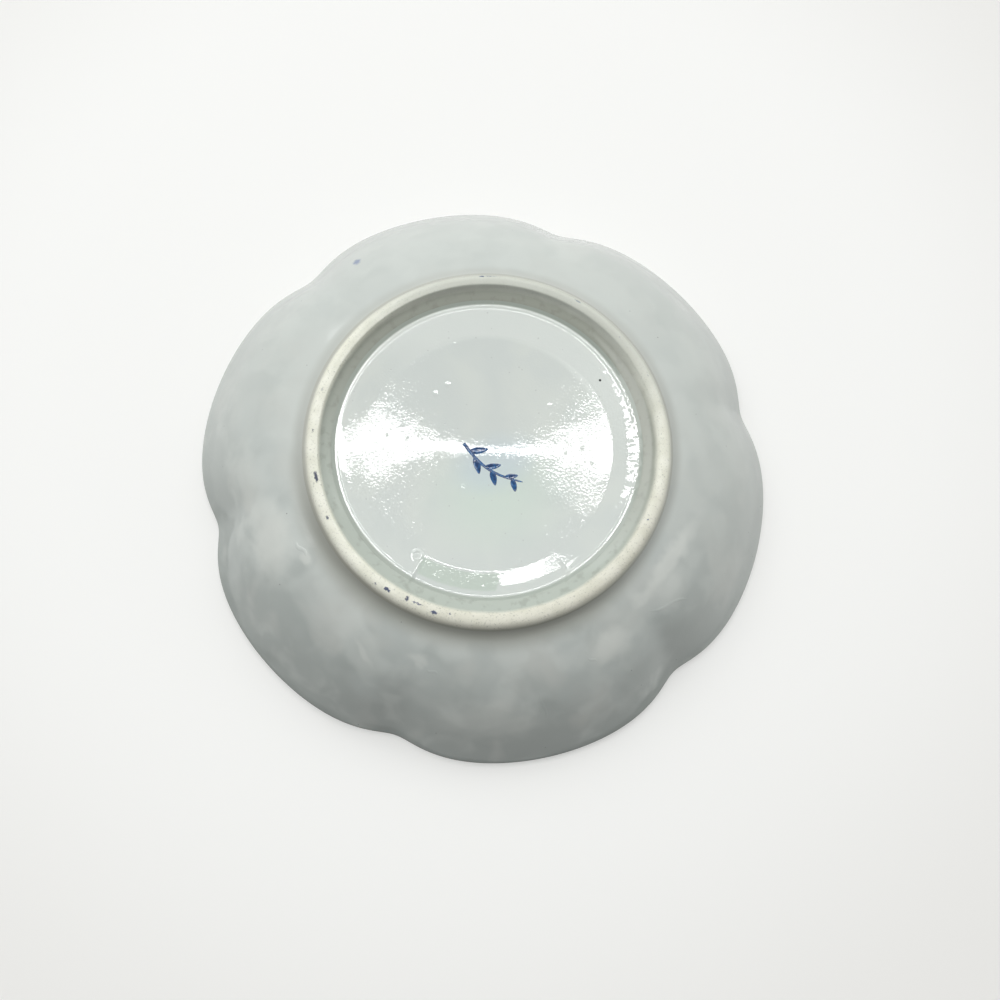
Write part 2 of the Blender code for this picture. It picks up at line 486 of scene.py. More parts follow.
def turnedGrid(path, steps):
    angles = np.linspace(0, 2 * math.pi, steps, endpoint=False)
    radius = np.repeat(path[:, :1], steps, 1)
    height = np.repeat(path[:, 1:], steps, 1)
    return angles, radius, height


def gridPoints(angles, radius, height):
    return np.stack([radius * np.cos(angles), radius * np.sin(angles), height], -1)


def turnedPiece(name, angles, radius, height):
    points = gridPoints(angles, radius, height)
    steps, onAxis = len(angles), 1e-9
    verts, rows = [], []
    for i, ring in enumerate(points):
        count = 1 if radius[i, 0] < onAxis else steps
        rows.append(list(range(len(verts), len(verts) + count)))
        verts.extend(ring[:count].tolist())
    pairs = list(zip(rows[:-1], rows[1:]))
    if len(rows[0]) > 1 and len(rows[-1]) > 1:
        pairs.append((rows[-1], rows[0]))
    faces = []
    for first, second in pairs:
        for j in range(steps):
            k = (j + 1) % steps
            if len(first) == 1:
                faces.append((first[0], second[j], second[k]))
            elif len(second) == 1:
                faces.append((first[j], second[0], first[k]))
            else:
                faces.append((first[j], second[j], second[k], first[k]))
    return meshPiece(name, verts, faces)


def meshPiece(name, verts, faces, sharpDegrees=50):
    mesh = bpy.data.meshes.new(name)
    mesh.from_pydata(verts, [], faces)
    mesh.validate()
    mesh.shade_smooth()
    mesh.set_sharp_from_angle(angle=math.radians(sharpDegrees))
    return addObject(name, mesh)


def baseBack(base, drop):  # the hidden side of the base's glaze, from the foot to the middle
    radii = np.linspace(base["backReach"], 0, base["backPoints"])
    reach = np.minimum(radii, base["disc"])
    falls = base["coneSlope"] * (np.hypot(reach, base["apex"]) - base["apex"])
    return np.stack([radii, base["middle"] + drop - falls], 1)


def makeDish(shape, foot, base, hand):
    face = facePath(shape)
    back = backPath(shape, foot, face[-1])
    hidden = [
        back[-1] + shape["underStep"],
        (ringHigh.x - shape["seatInset"], ringHigh.z),
        (shape["seatInner"], ringHigh.z),
    ]
    path = np.concatenate([face, back[1:], hidden, baseBack(base, base["skin"] + shape["skinGap"])])
    shown = len(face) + len(back) - 1
    angles, radius, height = turnedGrid(path, shape["steps"])
    ease = smooth(path[:, 0], shape["wallStart"][0], rimRadius) * path[:, 0] / rimRadius
    radius = radius - notchPull(angles, hand) * ease[:, None] + footSway(foot, angles, radius, height)
    along = directions(path[:shown])
    depth = hand["lumpDepth"] * smooth(path[:shown, 0], *hand["lumpFrom"])
    depth *= 1 - smooth(path[:shown, 1], *hand["lumpTo"])
    depth[: len(face)] *= hand["faceLumps"]
    lumps = unevenness(gridPoints(angles, radius[:shown], height[:shown]), hand["lumpSize"], hand["seed"])
    lumps *= depth[:, None]
    radius[:shown] -= along[:, 1:] * lumps
    height[:shown] += along[:, :1] * lumps
    return turnedPiece("glazed_dish", angles, radius, height)


def makeFoot(shape, foot, base):
    path = footPath(shape, foot)
    top = ringHigh.z - foot["topGap"]
    hidden = [(foot["topInner"], top), (path[0, 0] - foot["topInset"], top)]
    angles, radius, height = turnedGrid(np.concatenate([path, hidden]), foot["steps"])
    shownRadius, shownHeight = radius[: len(path)], height[: len(path)]
    baseAngles, baseHeight = baseGrid(base)[::2]
    lift = np.interp(angles, baseAngles, baseHeight[-1], period=2 * math.pi) - foot["innerTop"][1]
    shownHeight += lift * smooth(shownRadius, foot["edgeInner"] - foot["liftEase"], foot["innerTop"][0])
    flat = foot["flatten"] * smooth(angleOff(np.degrees(angles), foot["flatSide"]), *foot["flatSpread"])
    worn = smooth(shownRadius, *foot["flatInside"]) * (1 - smooth(shownHeight, *foot["flatReach"]))
    shownHeight *= 1 - flat * worn
    shownRadius += footSway(foot, angles, shownRadius, shownHeight)
    return turnedPiece("bare_foot", angles, radius, height)


def makeBase(base, foot, hand):
    angles, radius, height = baseGrid(base)
    waves = unevenness(gridPoints(angles, radius, height), hand["baseWave"], hand["seed"])
    waves *= hand["baseWaveDepth"] * (1 - smooth(radius, *hand["baseWaveEnd"]))
    gather = smooth(radius, *hand["edgeWaveIn"]) * (1 - smooth(radius, *hand["edgeWaveOut"]))
    side = smooth(angleOff(np.degrees(angles), hand["edgeWaveSide"]), *hand["edgeWaveSpread"])
    gather *= hand["edgeWaveDepth"] * (hand["edgeWaveLeast"] + side)
    middle = hand["edgeWaveMiddle"]
    drawn = middle + (radius - middle) * hand["edgeWaveStretch"]
    ridges = unevenness(gridPoints(angles, drawn, np.zeros_like(radius)), hand["edgeWave"], hand["seed"])
    height += waves + ridges * gather
    height[0] = height[0, 0]
    cornerRadius, cornerRise = base["corner"]
    corner = [(cornerRadius, foot["innerTop"][1] + cornerRise)]
    hidden = np.concatenate([baseBack(base, base["skin"])[::-1], corner])
    hiddenRadius, hiddenHeight = turnedGrid(hidden, base["steps"])[1:]
    radius = np.concatenate([hiddenRadius, radius[::-1]])
    height = np.concatenate([hiddenHeight, height[::-1]])
    return turnedPiece("base_pool", angles, radius, height)


# A small painted sprig in the middle of the base, a stem and leaves laid on with a loaded brush
sprigShape = {
    "root": (-4.6 * mm, 0.2 * mm),
    "tip": (8.2 * mm, 4.0 * mm),
    "bow": 1.5 * mm,  # how far the stem swings off the straight
    "stemWidth": 0.8 * mm,
    "stemEnd": 0.4,  # share of that width at the tip
    "stemPoints": 40,
    "leafPairs": 3,
    "leafSpan": (0.2, 0.8),  # where the first and the last pair stand along the stem
    "leafStagger": 0.05,  # how far the two leaves of a pair stand off that
    "leafLength": 4.0 * mm,
    "leafShorten": 0.4,  # share lost towards the tip
    "leafWidth": 1.75 * mm,
    "leafSlim": 0.3,  # share lost towards the tip
    "leafBelly": (0.75, 0.8),  # where a leaf is widest and how full it is
    "leafAngle": 42,  # degrees off the stem
    "leafBend": 16,  # degrees along a leaf
    "leafPoints": 24,
    "leastWidth": 0.08 * mm,
    "lift": 0.06 * mm,
    "thin": 0.6 * mm,  # a narrower stroke lies flatter
    "sunk": 0.03 * mm,
}


def underside(piece):  # gives the place and the outward direction on the piece's underside at x, y
    mesh = piece.data
    tree = BVHTree.FromPolygons([v.co for v in mesh.vertices], [face.vertices for face in mesh.polygons])

    def touch(x, y):
        place, outward = tree.ray_cast(Vector((x, y, -1)), Vector((0, 0, 1)))[:2]
        return place, outward if outward.z < 0 else -outward

    return touch


def brushStroke(verts, faces, touch, shape, path, widths, across=9):  # a domed ribbon laid on a surface
    along = directions(path)
    sideways = np.stack([-along[:, 1], along[:, 0]], 1)
    start = len(verts)
    count = across + 1
    for point, way, width in zip(path, sideways, widths):
        lift = shape["lift"] * min(1, width / shape["thin"])
        for t in np.linspace(-1, 1, across):
            place, outward = touch(*(point + way * (t * width / 2)))
            verts.append(place + outward * (lift * math.sqrt(max(0, 1 - t * t)) - shape["sunk"]))
        place, outward = touch(*point)
        verts.append(place - outward * (shape["sunk"] * 2))
    for i in range(len(path) - 1):
        for j in range(count):
            k = (j + 1) % count
            low, high = start + i * count, start + (i + 1) * count
            faces.append((low + j, high + j, high + k, low + k))
    faces.append(tuple(start + j for j in range(count)))
    faces.append(tuple(start + (len(path) - 1) * count + j for j in reversed(range(count))))


def makeSprig(shape, touch):
    verts, faces = [], []
    root, tip = np.array(shape["root"]), np.array(shape["tip"])
    forward = (tip - root) / np.linalg.norm(tip - root)
    sideways = np.array((-forward[1], forward[0]))
    t = np.linspace(0, 1, shape["stemPoints"])
    stem = root + (tip - root) * t[:, None] + sideways * (shape["bow"] * np.sin(np.pi * t))[:, None]
    taper = shape["stemEnd"] + (1 - shape["stemEnd"]) * np.sqrt(1 - t)
    brushStroke(verts, faces, touch, shape, stem, shape["stemWidth"] * taper)
    onward = math.degrees(math.atan2(forward[1], forward[0]))
    reach = np.linspace(0, 1, shape["leafPoints"])
    widest, full = shape["leafBelly"]
    belly = shape["leafWidth"] * np.sin(np.pi * reach**widest) ** full
    for share in np.linspace(*shape["leafSpan"], shape["leafPairs"]):
        for turn in (1, -1):
            at = stem[int((share + shape["leafStagger"] * turn) * (len(stem) - 1))]
            leaf = shape["leafLength"] * (1 - shape["leafShorten"] * share)
            bend = np.radians(onward + turn * (shape["leafAngle"] + shape["leafBend"] * (reach - 0.5)))
            step = np.stack([np.cos(bend), np.sin(bend)], 1) * leaf / (len(reach) - 1)
            path = at + np.concatenate([[(0, 0)], np.cumsum(step, 0)[:-1]])
            widths = belly * (1 - shape["leafSlim"] * share)
            brushStroke(verts, faces, touch, shape, path, np.maximum(widths, shape["leastWidth"]))
    return meshPiece("painted_sprig", verts, faces)


runShape = {
    "runs": (  # thin runs in the wall's glaze: mm and degrees at their start and end, and their width in mm
        ((42.0, 28.3), (47.0, 17.8), 0.8),
        ((42.6, 46.6), (44.6, 45.6), 0.6),
        ((45.4, 59.7), (51.2, 59.9), 0.7),
        ((39.2, 135.4), (39.2, 130.3), 1.0),
        ((42.0, 87.3), (43.2, 84.5), 0.7),
    ),
    "lift": 0.05 * mm,
    "thin": 0.6 * mm,
    "sunk": 0.03 * mm,
    "swing": 0.4 * mm,
    "blunt": 0.03,  # share of a run's length at each end that stays blunt
    "points": 30,
}


def makeRuns(shape, touch):
    verts, faces = [], []
    t = np.linspace(0, 1, shape["points"])
    swing = shape["swing"] * np.sin(2 * np.pi * t)
    taper = np.sqrt(np.sin(np.pi * np.clip(t, shape["blunt"], 1 - shape["blunt"])))
    for start, end, width in shape["runs"]:
        first, last = (heading(degrees) * radius * mm for radius, degrees in (start, end))
        sideways = np.array((first[1] - last[1], last[0] - first[0])) / np.linalg.norm(last - first)
        path = first + (last - first) * t[:, None] + sideways * swing[:, None]
        brushStroke(verts, faces, touch, shape, path, width * mm * taper)
    return meshPiece("glaze_runs", verts, faces)


# Low blisters in the glaze of the base, and one small crater with a raised ring
blisterShape = {
    "domes": (  # x, y, radius and height in mm
        (-10.9, -9.6, 0.75, 0.0245),
        (-12.5, -7.2, 0.80, 0.023),
        (8.6, -11.7, 0.72, 0.016),
        (-8.6, 4.1, 0.78, 0.042),
        (-2.2, 8.2, 0.60, 0.021),
        (7.1, 25.3, 0.42, 0.0055),
        (-16.6, 0.6, 0.50, 0.022),
        (-13.4, -1.5, 0.42, 0.022),
        (-14.8, 2.6, 0.36, 0.020),
        (-18.6, 3.4, 0.40, 0.022),
        (16.8, -5.6, 0.50, 0.024),
        (14.2, -3.8, 0.40, 0.020),
        (19.4, -3.2, 0.42, 0.022),
        (3.6, -8.4, 0.25, 0.0073),
        (15.4, 12.2, 0.30, 0.0074),
    ),
    "craterAt": (-6.1 * mm, 23.5 * mm),
    "craterRadius": 1.3 * mm,
    "craterHeight": 0.08 * mm,
    "craterRing": (0.66, 0.16),  # where the ring lies and how wide it is, as shares of the radius
    "craterLean": 310,  # degrees, where the ring is highest
    "craterSway": 0.8,  # how much higher it is there than on average
    "proud": 0.002 * mm,  # every blister starts this far off the base
    "sunk": 0.2 * mm,  # where the hidden underside closes
    "rings": 9,
    "sides": 24,
}


def makeBlisters(shape, touch):
    verts, faces = [], []
    sides = shape["sides"]
    shares = np.linspace(1, 0, shape["rings"])
    dome = (1 - shares**2) ** 2
    middle, wide = shape["craterRing"]
    ringed = np.exp(-(((shares - middle) / wide) ** 2)) - np.exp(-(((1 - middle) / wide) ** 2))
    bumps = [(x * mm, y * mm, size * mm, dome * high * mm, 0) for x, y, size, high in shape["domes"]]
    crater = (*shape["craterAt"], shape["craterRadius"], ringed * shape["craterHeight"], shape["craterSway"])
    for x, y, size, lifts, sway in (*bumps, crater):
        start = len(verts)
        for share, lift in zip(shares, lifts):
            for j in range(sides if share > 0 else 1):
                degrees = 360 * j / sides
                offset = heading(degrees) * size * share
                place, outward = touch(x + offset[0], y + offset[1])
                uneven = 1 + sway * math.cos(math.radians(degrees - shape["craterLean"]))
                verts.append(place + outward * (lift * uneven + shape["proud"]))
        for i in range(len(shares) - 2):
            for j in range(sides):
                k = (j + 1) % sides
                low, high = start + i * sides, start + (i + 1) * sides
                faces.append((low + j, high + j, high + k, low + k))
        top = len(verts) - 1
        place, outward = touch(x, y)
        verts.append(place - outward * shape["sunk"])
        for j in range(sides):
            k = (j + 1) % sides
            faces.append((top - sides + j, top, top - sides + k))
            faces.append((start + k, top + 1, start + j))
    return meshPiece("glaze_blisters", verts, faces)


def spotMask(b, spot, at, size, turn=0, soft=(0.6, 1.1)):  # 1 inside one mark, at a radius and degrees
    radius, degrees = at
    length, width = size
    middle = heading(degrees) * radius
    near = b.make(
        "ShaderNodeMapping",
        {"vector_type": "TEXTURE"},
        {
            "Vector": spot,
            "Location": (middle[0], middle[1], 0),
            "Rotation": (0, 0, math.radians(degrees + 90 + turn)),
            "Scale": (length / 2, width / 2, 1),
        },
    )
    return 1 - b.step(b.vector("LENGTH", {0: near}, "Value"), *soft)


def ragged(b, spot, size, depth):  # the same place, shifted a little by noise
    shift = b.cloud(spot, size, output="Color")
    centred = b.vector("SUBTRACT", {0: shift, 1: (0.5, 0.5, 0.5)})
    return b.vector("ADD", {0: spot, 1: b.vector("SCALE", {0: centred, "Scale": depth})})


def specks(b, spot, cell, radius, core=0.6):  # few small round dots, solid out to this share of their radius
    inputs = {"Vector": spot, "Scale": 1 / cell}
    distance = b.make("ShaderNodeTexVoronoi", {"feature": "F1"}, inputs, "Distance")
    return 1 - b.step(distance, radius / cell * core, radius / cell)


glazeLook = {
    "cool": (0.535, 0.578, 0.553),
    "warm": (0.588, 0.617, 0.582),
    "broad": {"size": 15 * mm, "distortion": 0.4},
    "broadStep": (0.34, 0.66),
    # Painted shade: the wall turns to a darker tone towards the rim, broken up by random lobes
    "paintedRimShade": (0.485, 0.525, 0.500),
    "lobes": {"size": 10 * mm, "roughness": 0.45, "distortion": 0.4},
    "lobeStep": (0.38, 0.60),
    "lobeShadeTrend": 15.0,  # per metre, painted shade: the wall is paler near the foot and darker towards the rim
    "lobeFrom": 45.2 * mm,
    "pale": (0.665, 0.705, 0.668),
    "paleShare": 0.55,
    "patchy": {"size": 7 * mm, "roughness": 0.45, "distortion": 0.3},
    "paleStep": (0.42, 0.66),
    "paleLightTrend": 10,  # per metre, painted light: the pale patches grow towards the foot
    "paleFrom": 43 * mm,
    "plain": (0.565, 0.603, 0.572),
    "cloudsAndReflections": (0.35, 0.65),  # how much of the mottled tone shows on the far side, and how much more on the near side; it is partly cloudy glaze and partly painted reflections of the room
    "cloudsAndReflectionsSide": (-10 * mm, 32 * mm),
    "faceCalm": 0.6,  # how much less on the face
    "faceStep": (0, 0.4),  # on the upward part of the normal, 0 on the back and 1 on the face
    "corner": (0.355, 0.364, 0.322),  # painted shade round the foot, partly glaze gathered there
    "cornerReach": (34.8 * mm, 37.0 * mm),
    "cornerShadeNear": 2.2 * mm,  # it reaches this much further on the near side, where the shade is deeper
    "cornerTop": (4 * mm, 5 * mm),
    "cornerShadeShare": (0.35, 0.58),  # on the far side, and how much more on the near side
    "nearSide": (5 * mm, 30 * mm),
    "patch": (0.735, 0.765, 0.72),
    "patches": (  # paler places on the near wall, partly painted reflections of the room and partly uneven glaze: radius, degrees, length, width, turn and strength
        (42.9, 40.8, 10.0, 6.5, 0, 0.8),
        (40.0, 26.6, 6.0, 3.0, 20, 0.45),
        (39.6, 14.0, 20.0, 4.0, 4, 0.7),
        (42.6, 19.5, 9.0, 7.0, 0, 0.45),
        (49.5, 72.0, 22.0, 7.0, 0, 0.4),
        (43.6, 138.6, 16.0, 9.0, 15, 0.75),
        (38.7, 130.4, 4.0, 2.2, 0, 0.6),
        (44.0, 103.1, 6.0, 1.8, 30, 0.5),
        (41.1, 90.3, 3.5, 2.0, 0, 0.5),
    ),
    "patchRagged": (4 * mm, 3.5 * mm),  # size and depth
    "patchSoft": (0.3, 1.2),
    "speck": (0.16, 0.17, 0.17),
    "speckShare": 0.7,
    "speckSize": (4.5 * mm, 0.14 * mm),  # how far apart and how large
    "smudge": (0.25, 0.30, 0.42),
    "smudgeShare": 0.95,
    "smudgeSpot": {"at": (47.5 * mm, 219.7), "size": (1.8 * mm, 2.1 * mm), "turn": 30, "soft": (0.3, 1.15)},
    "smudgeRagged": (0.9 * mm, 0.9 * mm),
    "gloss": (0.07, 0.06),  # roughness at least, and how much more in patches
    "fine": {"size": 1.3 * mm},
    "slow": {"size": 5 * mm, "detail": 1},
    "slowShare": 3,
    "peelDepth": 0.016 * mm,
}


def wallGlaze(look):
    material, b = newMaterial("wall_glaze")
    spot = b.place()
    away = b.radius(spot)
    y, z = b.split(spot)[1:]
    near = b.step(y, *look["nearSide"])
    upward = b.split(b.make("ShaderNodeNewGeometry", output="Normal"))[2]
    face = b.step(upward, *look["faceStep"])
    # The mottled tone is partly cloudy glaze and partly painted reflections of the room, so it shows more on
    # the near side
    least, more = look["cloudsAndReflections"]
    cloudsAndReflections = (least + more * b.step(y, *look["cloudsAndReflectionsSide"])) * (1 - look["faceCalm"] * face)
    tone = b.blend(b.step(b.cloud(spot, **look["broad"]), *look["broadStep"]), look["cool"], look["warm"])
    # Painted shade towards the rim, broken up by random lobes
    lobes = b.cloud(spot, **look["lobes"]) - look["lobeShadeTrend"] * (away - look["lobeFrom"])
    tone = b.blend(b.step(lobes, *look["lobeStep"]), look["paintedRimShade"], tone)
    patchy = b.cloud(spot, **look["patchy"])
    # Random pale patches, with painted light that makes them grow towards the foot
    paler = b.step(patchy - look["paleLightTrend"] * (away - look["paleFrom"]), *look["paleStep"])
    tone = b.blend(look["paleShare"] * paler, tone, look["pale"])
    tone = b.blend(cloudsAndReflections, look["plain"], tone)
    # Painted shade round the foot, deeper on the near side, partly glaze gathered there
    start, end = look["cornerReach"]
    corner = 1 - b.step(away, start, end + look["cornerShadeNear"] * near)
    corner = corner * (1 - b.step(z, *look["cornerTop"]))
    least, more = look["cornerShadeShare"]
    tone = b.blend(corner * (least + more * near), tone, look["corner"])
    streaky = ragged(b, spot, *look["patchRagged"])
    # Paler places on the near wall, partly painted reflections of the room and partly uneven glaze
    for radius, degrees, length, width, turn, share in look["patches"]:
        size = (length * mm, width * mm)
        mark = spotMask(b, streaky, (radius * mm, degrees), size, turn, look["patchSoft"])
        tone = b.blend(share * mark * (1 - face), tone, look["patch"])
    tone = b.blend(look["speckShare"] * specks(b, spot, *look["speckSize"]), tone, look["speck"])
    smudge = spotMask(b, ragged(b, spot, *look["smudgeRagged"]), **look["smudgeSpot"])
    tone = b.blend(look["smudgeShare"] * smudge * (1 - face), tone, look["smudge"])
    peel = b.cloud(spot, **look["fine"]) + look["slowShare"] * b.cloud(spot, **look["slow"])
    least, more = look["gloss"]
    b.ceramic(tone, least + more * patchy, peel, look["peelDepth"])
    return material


baseLook = {
    "pale": (0.675, 0.718, 0.676),
    "cool": (0.640, 0.686, 0.656),
    "clouds": {"size": 12 * mm, "distortion": 0.5},
    "cloudStep": (0.35, 0.65),
    "green": (0.610, 0.712, 0.635),
    "greenShare": 0.7,
    "greenSpot": {"at": (9.0 * mm, 62.0), "size": (30 * mm, 24 * mm), "soft": (0.1, 1.2)},
    "halo": (0.50, 0.60, 0.72),  # cobalt that spread into the glaze round the sprig
    "haloShare": 0.35,
    "haloSpot": {"at": (2.9 * mm, 49.0), "size": (19 * mm, 13 * mm), "soft": (0.3, 1.1)},
    "farSide": (5 * mm, 18 * mm),
    # Painted light: the ring outside the disc is paler on the far side
    "farRingLight": (0.745, 0.790, 0.750),
    "farRingShare": 0.8,
    "farRingFrom": (21.2 * mm, 22.6 * mm),
    "hollow": (0.550, 0.625, 0.560),  # a stretch of the near ring
    "hollowFrom": (-5.6 * mm, -4.6 * mm),  # along x, where it starts and ends
    "hollowTo": (9.3 * mm, 9.9 * mm),
    "hollowSide": (0, 1 * mm),  # along y
    "hollowIn": (23.7 * mm, 24.1 * mm),  # and radius
    "hollowOut": (26.8 * mm, 27.4 * mm),
    "pool": (0.405, 0.450, 0.400),  # thicker glaze where base and foot meet
    "poolFrom": (28.05 * mm, 28.45 * mm),
    "farPoolShadeShare": 0.42,  # painted shade: the pool starts further in on the far side, where the foot's inner side lies in shade
    "farPoolFrom": (27.0 * mm, 27.8 * mm),
    "pit": (0.50, 0.53, 0.51),
    "pitShare": 0.5,
    "pitSize": (2.1 * mm, 0.2 * mm),  # how far apart and how large
    "pitDepth": 1.5,  # times the peel's depth
    "dot": (0.02, 0.02, 0.025),
    "dotSpot": {"at": (25.1 * mm, 310.2), "size": (0.55 * mm, 0.5 * mm)},
    "peelDepth": 0.0036 * mm,  # the shares and depths below are times this
    "fine": {"size": 0.36 * mm, "detail": 0},
    "fineShare": (0.65, 1.1),  # at least, and how much more in patches
    "finePatches": {"size": 6 * mm},
    "fineStep": (0.42, 0.62),
    "coarseShare": 1.5,  # more again in one place
    "coarseSpot": {"at": (16.5 * mm, 8.0), "size": (9 * mm, 13 * mm), "soft": (0.5, 1.2)},
    "coarseRagged": (4 * mm, 4 * mm),  # size and depth
    "sprayShare": 6,  # and most in another
    "spraySpot": {"at": (25.4 * mm, 41.0), "size": (7 * mm, 6 * mm), "soft": (0.4, 1.2)},
    "slow": {"size": 1.6 * mm, "detail": 1},
    "slowShare": 1.2,
    "dimpleSize": (0.624 * mm, 0.26 * mm),  # how far apart and how large
    "dimpleRagged": (0.9 * mm, 0.4 * mm),
    "dimpleDepth": 0.4,
    "calmRing": 0.25,  # the near part of the ring ran smoother by this share
    "calmRingFrom": (22.5 * mm, 24.0 * mm),
    "calmRingSide": (0, 10 * mm),
    "calmEdge": (26.2 * mm, 27.0 * mm),  # no peel outside this
    "gloss": (0.012, 0.012),  # roughness at least, and how much more in clouds
}


def baseGlaze(look):
    material, b = newMaterial("base_glaze")
    spot = b.place()
    away = b.radius(spot)
    x, y = b.split(spot)[:2]
    far = b.step(-1 * y, *look["farSide"])
    clouds = b.cloud(spot, **look["clouds"])
    tone = b.blend(b.step(clouds, *look["cloudStep"]), look["cool"], look["pale"])
    tone = b.blend(look["greenShare"] * spotMask(b, spot, **look["greenSpot"]), tone, look["green"])
    tone = b.blend(look["haloShare"] * spotMask(b, spot, **look["haloSpot"]), tone, look["halo"])
    # Painted light on the far side of the ring outside the disc
    tone = b.blend(look["farRingShare"] * b.step(away, *look["farRingFrom"]) * far, tone, look["farRingLight"])
    hollow = b.step(x, *look["hollowFrom"]) * (1 - b.step(x, *look["hollowTo"]))
    hollow = hollow * b.step(away, *look["hollowIn"]) * (1 - b.step(away, *look["hollowOut"]))
    hollow = hollow * b.step(y, *look["hollowSide"])
    tone = b.blend(hollow, tone, look["hollow"])
    # Painted shade on the far side of the recess
    tone = b.blend(look["farPoolShadeShare"] * b.step(away, *look["farPoolFrom"]) * far, tone, look["pool"])
    tone = b.blend(b.step(away, *look["poolFrom"]), tone, look["pool"])
    pits = specks(b, spot, *look["pitSize"])
    tone = b.blend(look["pitShare"] * pits, tone, look["pit"])
    tone = b.blend(spotMask(b, spot, **look["dotSpot"]), tone, look["dot"])
    least, more = look["fineShare"]
    grainy = least + more * b.step(b.cloud(spot, **look["finePatches"]), *look["fineStep"])
    coarse = spotMask(b, ragged(b, spot, *look["coarseRagged"]), **look["coarseSpot"])
    grainy = grainy + look["coarseShare"] * coarse
    grainy = grainy + look["sprayShare"] * spotMask(b, spot, **look["spraySpot"])
    peel = grainy * b.cloud(spot, **look["fine"]) + look["slowShare"] * b.cloud(spot, **look["slow"])
    dimples = specks(b, ragged(b, spot, *look["dimpleRagged"]), *look["dimpleSize"])
    peel = peel - look["dimpleDepth"] * dimples - look["pitDepth"] * pits
    calmRing = look["calmRing"] * b.step(away, *look["calmRingFrom"]) * b.step(y, *look["calmRingSide"])
    calm = (1 - calmRing) * (1 - b.step(away, *look["calmEdge"]))
    least, more = look["gloss"]
    b.ceramic(tone, least + more * clouds, calm * peel, look["peelDepth"])
    return material


bareLook = {
    "pale": (0.90, 0.91, 0.80),
    "deep": (0.81, 0.82, 0.70),
    "clouds": {"size": 3 * mm, "detail": 3},
    "cloudStep": (0.3, 0.7),
    "grit": (0.52, 0.53, 0.46),
    "grain": {"size": 0.35 * mm, "detail": 3, "roughness": 0.6},
    "grainShare": 0.7,
    "grainStep": (0.54, 0.72),
    "gritShare": 0.55,
    "gritSize": (1.3 * mm, 0.2 * mm),  # how far apart and how large
    "gritRagged": (0.3 * mm, 0.3 * mm),  # size and depth
    "far": (0.53, 0.558, 0.503),
    "farShare": 0.8,
    "farSide": (8 * mm, 30 * mm),
    "near": (0.86, 0.845, 0.835),  # multiplies the tone
    "nearWay": (0.6, 0.8),  # towards x and y
    "nearSide": (12 * mm, 30 * mm),
    "ink": (0.030, 0.040, 0.095),
    "cobalt": (0.028, 0.062, 0.175),
    "inkStep": (0.4, 0.6),
    "fleckShare": 0.92,
    "fleckRagged": (0.35 * mm, 0.75 * mm),
    "flecks": (  # degrees, radius, length, width (mm) and how strongly it shows
        (150.3, 32.1, 2.3, 0.75, 1.0),
        (136.2, 32.5, 1.0, 0.55, 0.9),
        (166.3, 32.3, 0.8, 0.45, 0.7),
        (109.9, 33.2, 0.7, 0.35, 0.7),
        (105.8, 32.9, 1.4, 0.7, 1.0),
        (98.9, 32.5, 0.75, 1.1, 0.95),
        (95.4, 32.5, 2.3, 0.32, 0.8),
        (89.5, 33.0, 1.35, 0.8, 1.0),
        (84.5, 32.5, 0.35, 0.3, 0.8),
        (8.4, 32.5, 0.4, 0.35, 0.9),
        (250.3, 33.2, 1.0, 0.5, 1.0),
        (253.5, 33.2, 2.6, 0.25, 0.8),
        (283.4, 33.0, 1.6, 0.4, 0.6),
        (180.6, 32.4, 0.9, 0.5, 0.35),
        (302.0, 32.6, 0.5, 0.3, 0.3),
        (318.0, 32.9, 0.6, 0.3, 0.35),
    ),
    "glazeLine": (0.3 * mm, 1.15 * mm),  # height over the standing edge where the glaze was wiped off inside
    "glazeLineFar": 0.35 * mm,  # it lies this much higher on the far side
    "glazeLineSide": (0, 28 * mm),
    "outerLine": (0.45 * mm, 1.5 * mm),  # and outside, where it thins out slowly
    "outside": (32.5 * mm, 33.0 * mm),  # radii where that side starts
    "wander": {"size": 5 * mm},  # how both lines wander
    "wanderReach": 0.35 * mm,
    "wanderMiddle": 0.17 * mm,
    # The glaze on the foot's inner side: painted shade on the far side, painted light on the near side
    "shadedFarGlaze": (0.362, 0.382, 0.327),
    "litNearGlaze": (0.475, 0.525, 0.468),
    "glazeSide": (-15 * mm, 22 * mm),
    "stain": (0.23, 0.235, 0.20),
    "stainShare": 0.3,
    "stains": {"size": 1.6 * mm, "detail": 3},
    "stainStep": (0.5, 0.7),
    # The glaze on the foot's outer side: lighter on the far side, painted shadow on the near side
    "litOuterFar": (0.46, 0.47, 0.42),
    "outerGlaze": (0.36, 0.366, 0.312),
    "outerSide": (5 * mm, 30 * mm),
    "rough": (0.72, 0.1),  # bare roughness, and how much more in the grain
    "gloss": 0.16,
    "relief": 0.03 * mm,
    "cloudRelief": 0.15,
}


